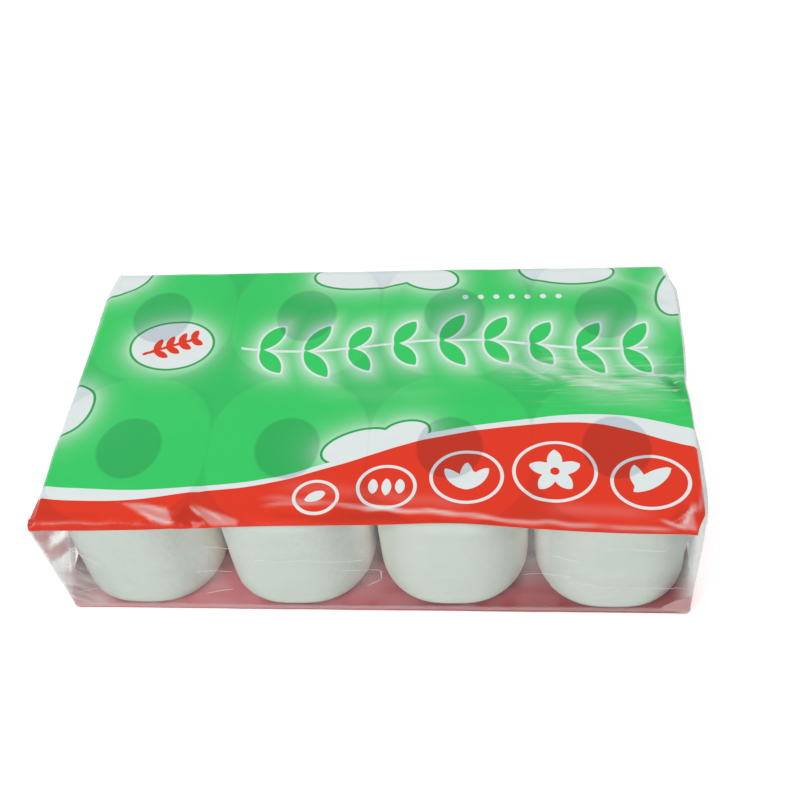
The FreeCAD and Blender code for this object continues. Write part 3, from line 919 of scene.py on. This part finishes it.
def make_fin(name, side, material):
    """A welded fin, folded down against the lower flap."""
    half = HALF_Y - MIDDLE + FIN_END
    ys = np.linspace(-half, half, FIN_ALONG)
    outer, inner = [], []
    for share in np.linspace(0, 1, FIN_STEPS):
        z = MIDDLE + FIN_ABOVE - (FIN_TALL + FIN_ABOVE + 0.6 * noise(ys, ys * 0, 7.0, 61)) * share
        flare = 0.25 * share * (1 + noise(ys, np.full(ys.shape, 30 * share), 8.0, 62 + side))
        flare += RIB_RISE * np.sin(ys * TURN / RIB_PITCH)
        flap = flap_height(side, ys, z, (0, -1), ys, 1 - np.abs(MIDDLE - z) / MIDDLE)
        out = np.minimum(flap + FIN_OVER + FIN_THICK + flare, FIN_MOST)
        out = HALF_X + out + end_bulge(side, ys, z)
        outer.append(np.stack([side * out, ys, z], 1))
        inner.append(np.stack([side * (out - FIN_THICK), ys, z], 1))
    grid = np.array(outer + inner[::-1]).transpose(1, 0, 2)
    around = grid.shape[1]
    faces = ring_faces(len(grid), around, False)
    fin = make_object(name, grid.reshape(-1, 3), faces[:, ::-1] if side < 0 else faces)
    across = np.repeat(ys[:, None], around, 1)
    # painted highlight on the crimps' ridges
    ribs = 0.5 + 0.5 * np.sin(across * TURN / RIB_PITCH)
    set_fields(fin, {"streaks": ribs * (0.6 + 0.4 * noise(across, across * 0, 9.0, 66))})
    dress(fin, material)


# Materials

PAPER_DIM = (0.585, 0.655, 0.590, 1)
PAPER = (0.675, 0.735, 0.675, 1)
TURN_SHADE = (0.45, 0.47, 0.43, 1)
TURN_LINES = 260.0  # turns of paper shown across an end, as an angle
EMBOSS = 260.0
CARD_DARK = (0.24, 0.18, 0.13, 1)
CARD_PALE = (0.38, 0.31, 0.23, 1)
CARD_SEAM = (0.14, 0.10, 0.07, 1)
GREEN = (0.022, 0.590, 0.112, 1)
PALE_GREEN = (0.034, 0.655, 0.145, 1)
DEEP_GREEN_INK_AND_FAN_SHADE = (0.014, 0.390, 0.085, 1)
GLOW = (0.700, 0.900, 0.770, 1)
RED = (0.800, 0.030, 0.003, 1)
WHITE = (0.790, 0.860, 0.850, 1)
MILKY = (0.820, 0.850, 0.840, 1)
BASE_RED = (0.600, 0.040, 0.040, 1)
DEEP_PINK = (0.400, 0.035, 0.045, 1)  # the print seen through the film's inside
# painted light: a paler pink for the walls and the left end, where light comes through the film
PAINTED_LIGHT_PINK = (0.740, 0.230, 0.260, 1)
CORNER_RED = (0.850, 0.120, 0.100, 1)
CORNER_PINK = (0.700, 0.200, 0.220, 1)
DULL_GREEN = (0.300, 0.560, 0.380, 1)
HOLE_SHADE = (0.70, 0.74, 0.80, 1)  # painted shade: how much darker the film is drawn over a hole
# painted shade over the gaps between the rolls
GAP_SHADE = (0.86, 0.89, 0.92, 1)
# painted light: a lighter, warmer paper on the sides where rolls face each other
PAINTED_LIGHT_BETWEEN_ROLLS = (0.90, 0.87, 0.78, 1)
FOLD_HIGHLIGHT = (0.84, 0.86, 0.83, 1)
FOLD_SHADE = (0.0, 0.0, 0.0, 1)
FAN_HIGHLIGHT = (0.84, 0.90, 0.85, 1)
FIN_GREY = (0.70, 0.74, 0.73, 1)
FRINGE = 0.12  # softness of the edge of a field of ink
PEBBLE_RIM = 1.8  # the dark line round the white shapes
LEAF_RIM = 1.5
RING_HALF = 1.1
LINE_HALF = 0.3


class Shader:
    """A material's nodes, with short calls for the few kinds used here."""

    def __init__(self, name):
        self.material = bpy.data.materials.new(name)
        self.material.use_nodes = True
        self.tree = self.material.node_tree
        self.tree.nodes.clear()

    def node(self, kind, inputs=(), **settings):
        made = self.tree.nodes.new(kind)
        for key, value in settings.items():
            setattr(made, key, value)
        for key, value in dict(inputs).items():
            if isinstance(value, bpy.types.NodeSocket):
                self.tree.links.new(value, made.inputs[key])
            else:
                made.inputs[key].default_value = value
        return made

    def math(self, operation, *values):
        return self.node("ShaderNodeMath", dict(enumerate(values)), operation=operation).outputs[0]

    def field(self, name):
        return self.node("ShaderNodeAttribute", attribute_name=name).outputs["Fac"]

    def ramp(self, value, low, high):
        """0 up to low and 1 from high."""
        return self.node("ShaderNodeMapRange", {"Value": value, "From Min": low, "From Max": high}).outputs[0]

    def over(self, value, edge=0.0, fringe=FRINGE):
        """1 where value is more than edge, with a soft step."""
        return self.ramp(value, edge - fringe, edge + fringe)

    def under(self, value, edge=0.0, fringe=FRINGE):
        return self.math("SUBTRACT", 1.0, self.over(value, edge, fringe))

    def both(self, first, second):
        return self.math("MULTIPLY", first, second)

    def paint(self, below, colour, share, blend="MIX"):
        made = self.node("ShaderNodeMix", data_type="RGBA", blend_type=blend)
        for index, value in ((0, share), (6, below), (7, colour)):
            socket = made.inputs[index]
            if isinstance(value, bpy.types.NodeSocket):
                self.tree.links.new(value, socket)
            else:
                socket.default_value = value
        return made.outputs[2]

    def layers(self, colour, *layers):
        """Paints colours over a colour, each with its share."""
        for over, share in layers:
            colour = self.paint(colour, over, share)
        return colour

    def noise(self, scale, detail=3.0, stretch=(1, 1, 1), turn=0.0):
        place = {"Vector": self.node("ShaderNodeTexCoord").outputs["Object"], "Scale": stretch,
                 "Rotation": (0, 0, math.radians(turn))}
        where = self.node("ShaderNodeMapping", place).outputs[0]
        made = self.node("ShaderNodeTexNoise", {"Vector": where, "Scale": scale, "Detail": detail})
        return made.outputs["Fac"]

    def bump(self, height, distance):
        return self.node("ShaderNodeBump", {"Height": height, "Distance": distance}).outputs[0]

    def end_in(self, surface):
        self.node("ShaderNodeOutputMaterial", {"Surface": surface})
        return self.material

    def finish(self, inputs):
        return self.end_in(self.node("ShaderNodeBsdfPrincipled", inputs).outputs[0])


def paper_material():
    """Soft tissue: faint lumps, a fine emboss on the side, the edges of the turns on the ends, and painted
    light where rolls face each other.
    """
    shader = Shader("paper")
    colour = shader.paint(PAPER_DIM, PAPER, shader.noise(12.0, 3.0))
    turns = shader.field("turns")
    on_end = shader.over(turns, 0.02, 0.01)
    lines = shader.math("SINE", shader.math("MULTIPLY", turns, TURN_LINES))
    colour = shader.paint(colour, TURN_SHADE, shader.both(on_end, shader.ramp(lines, 0.7, 1.0)))
    # painted light on the sides where rolls face their neighbours
    colour = shader.paint(colour, PAINTED_LIGHT_BETWEEN_ROLLS, shader.field("facing"))
    where = shader.node("ShaderNodeTexCoord").outputs["Object"]
    cells = shader.node("ShaderNodeTexVoronoi", {"Vector": where, "Scale": EMBOSS}, feature="SMOOTH_F1")
    on_side = shader.math("SUBTRACT", 1.0, on_end)
    emboss = shader.both(on_side, shader.both(cells.outputs["Distance"], 0.35))
    height = shader.math("ADD", emboss, shader.both(on_end, shader.both(lines, 0.25)))
    height = shader.math("ADD", height, shader.both(shader.noise(900.0, 4.0), 0.12))
    height = shader.math("ADD", height, shader.both(shader.noise(30.0, 2.0, (0.5, 0.5, 2.4)), 0.9))
    return shader.finish({"Base Color": colour, "Roughness": 0.93, "Specular IOR Level": 0.2,
                          "Normal": shader.bump(height, 0.0008)})


def card_material():
    """Wound grey-brown card with a dark seam."""
    shader = Shader("card")
    fibres = shader.noise(140.0, 4.0, (1, 1, 4))
    colour = shader.paint(CARD_DARK, CARD_PALE, fibres)
    colour = shader.paint(colour, CARD_SEAM, shader.both(shader.field("seam"), 0.7))
    return shader.finish({"Base Color": colour, "Roughness": 0.85,
                          "Normal": shader.bump(shader.noise(400.0), 0.0002)})


def printed_colour(shader):
    """The upper print, field over field."""
    green = shader.paint(GREEN, PALE_GREEN, shader.noise(9.0, 2.0))
    white, leaves = shader.field("ink_white"), shader.field("ink_leaf")
    red = shader.over(shader.field("ink_red"))
    ring = shader.under(shader.math("ABSOLUTE", shader.field("ink_ring")), RING_HALF)
    return shader.layers(
        green,
        (GLOW, shader.field("glow")),
        (DEEP_GREEN_INK_AND_FAN_SHADE, shader.under(white, PEBBLE_RIM)),
        (WHITE, shader.under(white)),
        (WHITE, shader.under(leaves, LEAF_RIM)),
        (WHITE, shader.under(shader.field("ink_stem"))),
        (green, shader.under(leaves)),
        (WHITE, shader.under(shader.field("ink_dots"))),
        (WHITE, shader.over(shader.field("ink_rim"))),
        (RED, red),
        (WHITE, shader.both(red, ring)),
        (WHITE, shader.both(red, shader.under(shader.field("ink_sign")))),
        (RED, shader.under(shader.field("ink_sprig"))),
    )


def folded_colour(shader, colour):
    """Painted shade over the holes and gaps of the rolls under the film, and painted highlight and shade on
    the folds in it.
    """
    # painted shade of the holes and of the gaps between the rolls, seen through the ink
    colour = shader.paint(colour, HOLE_SHADE, shader.under(shader.field("hole"), 0.0, 0.9), "MULTIPLY")
    colour = shader.paint(colour, GAP_SHADE, shader.under(shader.field("gap"), 8.0, 0.9), "MULTIPLY")
    fold_light, fan = shader.field("fold_light"), shader.field("fan")
    darker = shader.math("MULTIPLY", fold_light, -1.0)
    # painted highlight and painted shade streaks in the fold fan; the deep green is also the ink of the rims
    # round the white shapes
    pale = shader.both(shader.ramp(shader.noise(420.0, 3.0, (0.07, 1, 1), 8.0), 0.54, 0.70), fan)
    dark = shader.both(shader.ramp(shader.noise(300.0, 3.0, (0.09, 1, 1), 2.0), 0.56, 0.72), fan)
    return shader.layers(
        colour,
        # painted highlight and painted shade on the folds and facets
        (FOLD_HIGHLIGHT, shader.both(shader.ramp(fold_light, 0.0, 1.0), 0.8)),
        (FOLD_SHADE, shader.both(shader.ramp(darker, 0.0, 1.0), 0.6)),
        (FAN_HIGHLIGHT, shader.both(pale, 0.55)),
        (DEEP_GREEN_INK_AND_FAN_SHADE, shader.both(dark, 0.45)),
    )


def film_material():
    """Glossy film: the printed fields cover it, and the rest is as clear as its milkiness says. Painted glint
    lines on the clear sides, and painted light and shade on the print.
    """
    shader = Shader("film")
    printed = shader.over(shader.field("ink_edge"))
    base = shader.over(shader.field("ink_base"))
    pulled = shader.both(shader.under(shader.field("ink_corner"), 0.0, 0.8), 0.62)
    top = folded_colour(shader, printed_colour(shader))
    colour = shader.layers(MILKY, (top, printed), (BASE_RED, base), (CORNER_PINK, pulled))
    # painted highlights: fine glint lines on the clear sides, drawn as more opaque milky film
    line = shader.under(shader.math("ABSOLUTE", shader.field("line")), LINE_HALF, 0.25)
    line = shader.both(shader.both(line, shader.field("glint_gain")), 0.65)
    cover = printed
    for more in (base, shader.field("milk"), line, pulled):
        cover = shader.math("MAXIMUM", cover, more)
    crinkle = shader.both(shader.noise(380.0, 2.0), 0.2)
    crinkle = shader.math("ADD", shader.noise(90.0, 3.0, (0.3, 1, 1)), crinkle)
    return shader.finish({"Base Color": colour, "Roughness": 0.3, "Alpha": cover, "Specular IOR Level": 0.4,
                          "Normal": shader.bump(crinkle, 0.0007)})


def inside_material():
    """The print seen through the film, duller than on its face, with painted light: a paler pink on the walls
    and towards the left end, and painted highlight streaks.
    """
    shader = Shader("film_inside")
    colour = shader.layers(
        MILKY,
        (DULL_GREEN, shader.field("green")),
        (CORNER_RED, shader.field("red")),
        (shader.paint(DEEP_PINK, PAINTED_LIGHT_PINK, shader.field("pale")), shader.field("pink")),
        # painted highlight streaks, paler and more opaque
        (MILKY, shader.both(shader.field("streaks"), 0.5)),
    )
    return shader.finish({"Base Color": colour, "Roughness": 0.55, "Alpha": shader.field("cover"),
                          "Specular IOR Level": 0.15, "Normal": shader.bump(shader.noise(60.0), 0.0006)})


def fin_material():
    """Film welded in crimps, paler on their ridges as a painted highlight."""
    shader = Shader("fin")
    colour = shader.paint(FIN_GREY, MILKY, shader.field("streaks"))
    cover = shader.math("ADD", shader.both(shader.field("streaks"), 0.15), 0.8)
    return shader.finish({"Base Color": colour, "Roughness": 0.4, "Alpha": cover,
                          "Normal": shader.bump(shader.noise(300.0, 3.0, (1, 0.3, 1)), 0.0004)})


# Camera, fitted to the corners of the pack in the photograph
CAMERA_AT = (92.0, -501.6, 684.0)
CAMERA_YAW, CAMERA_PITCH, CAMERA_ROLL = -8.27, 49.86, -6.67
FOCAL_PIXELS, IMAGE_PIXELS, CENTRE_X = 1152.4, 800.0, 403.7
SENSOR = 36.0


def make_camera():
    yaw, pitch, roll = (math.radians(angle) for angle in (CAMERA_YAW, CAMERA_PITCH, CAMERA_ROLL))
    level = math.cos(pitch)
    forward = Vector((math.sin(yaw) * level, math.cos(yaw) * level, -math.sin(pitch)))
    right = Vector((math.cos(yaw), -math.sin(yaw), 0))
    up = right.cross(forward)
    across = math.cos(roll) * right + math.sin(roll) * up
    above = -math.sin(roll) * right + math.cos(roll) * up
    lens = bpy.data.cameras.new("camera")
    lens.sensor_width = SENSOR
    lens.lens = FOCAL_PIXELS / IMAGE_PIXELS * SENSOR
    lens.shift_x = (IMAGE_PIXELS / 2 - CENTRE_X) / IMAGE_PIXELS
    camera = bpy.data.objects.new("camera", lens)
    facing = Matrix((across, above, -forward)).transposed().to_4x4()
    camera.matrix_world = Matrix.Translation(Vector(CAMERA_AT) * MM) @ facing
    bpy.context.scene.collection.objects.link(camera)
    bpy.context.scene.camera = camera


# Stage and lights

FLOOR_HALF = 6000.0
FLOOR_BELOW = 0.3  # keeps the floor clear of the film's underside
FLOOR_LIFT = 0.42  # what only the camera and reflections see, so that the floor turns white
FLOOR_COLOUR = (0.88, 0.88, 0.88, 1)


def floor_material():
    """A pale floor that takes the pack's shadow, and turns white for the camera."""
    shader = Shader("floor")
    path = shader.node("ShaderNodeLightPath").outputs
    seen = shader.math("MAXIMUM", path["Is Camera Ray"], path["Is Glossy Ray"])
    lift = shader.node("ShaderNodeEmission", {"Strength": shader.math("MULTIPLY", seen, FLOOR_LIFT)})
    lit = shader.node("ShaderNodeBsdfDiffuse", {"Color": FLOOR_COLOUR})
    both = shader.node("ShaderNodeAddShader", {0: lit.outputs[0], 1: lift.outputs[0]})
    return shader.end_in(both.outputs[0])


def make_stage():
    half, low = FLOOR_HALF, -FLOOR_BELOW
    corners = [(-half, -half, low), (half, -half, low), (half, half, low), (-half, half, low)]
    floor = make_object("floor", corners, [(0, 1, 2, 3)], False)
    floor.data.materials.append(floor_material())


def make_light(name, at, size, power):
    """A square lamp at a place in metres, turned to the origin."""
    lamp = bpy.data.lights.new(name, "AREA")
    lamp.size = size
    lamp.energy = power
    light = bpy.data.objects.new(name, lamp)
    light.location = at
    light.rotation_euler = (-Vector(at)).to_track_quat("-Z", "Y").to_euler()
    bpy.context.scene.collection.objects.link(light)


WORLD_LIGHT = 0.62  # what lights the pack. The camera sees the world white


def make_lights():
    world = bpy.data.worlds.new("world")
    bpy.context.scene.world = world
    world.use_nodes = True
    tree = world.node_tree
    path = tree.nodes.new("ShaderNodeLightPath")
    strength = tree.nodes.new("ShaderNodeMapRange")
    strength.inputs["To Min"].default_value = WORLD_LIGHT
    strength.inputs["To Max"].default_value = 1.0
    tree.links.new(path.outputs["Is Camera Ray"], strength.inputs["Value"])
    tree.nodes["Background"].inputs["Color"].default_value = (1, 1, 1, 1)
    tree.links.new(strength.outputs[0], tree.nodes["Background"].inputs["Strength"])
    make_light("key", (-2.3, -2.1, 2.8), 1.6, 64)
    make_light("fill", (3.0, -0.4, 1.9), 2.2, 22)


def main():
    paper, card = paper_material(), card_material()
    for index, name in enumerate(ROLL_NAMES):
        make_roll(name, index, paper)
        make_tube(name, card)
    make_wrapper(film_material())
    make_inside(inside_material())
    welded = fin_material()
    make_fin("end_fin_left", -1, welded)
    make_fin("end_fin_right", 1, welded)
    make_camera()
    make_stage()
    make_lights()
    bpy.context.scene.view_settings.view_transform = "Standard"


main()
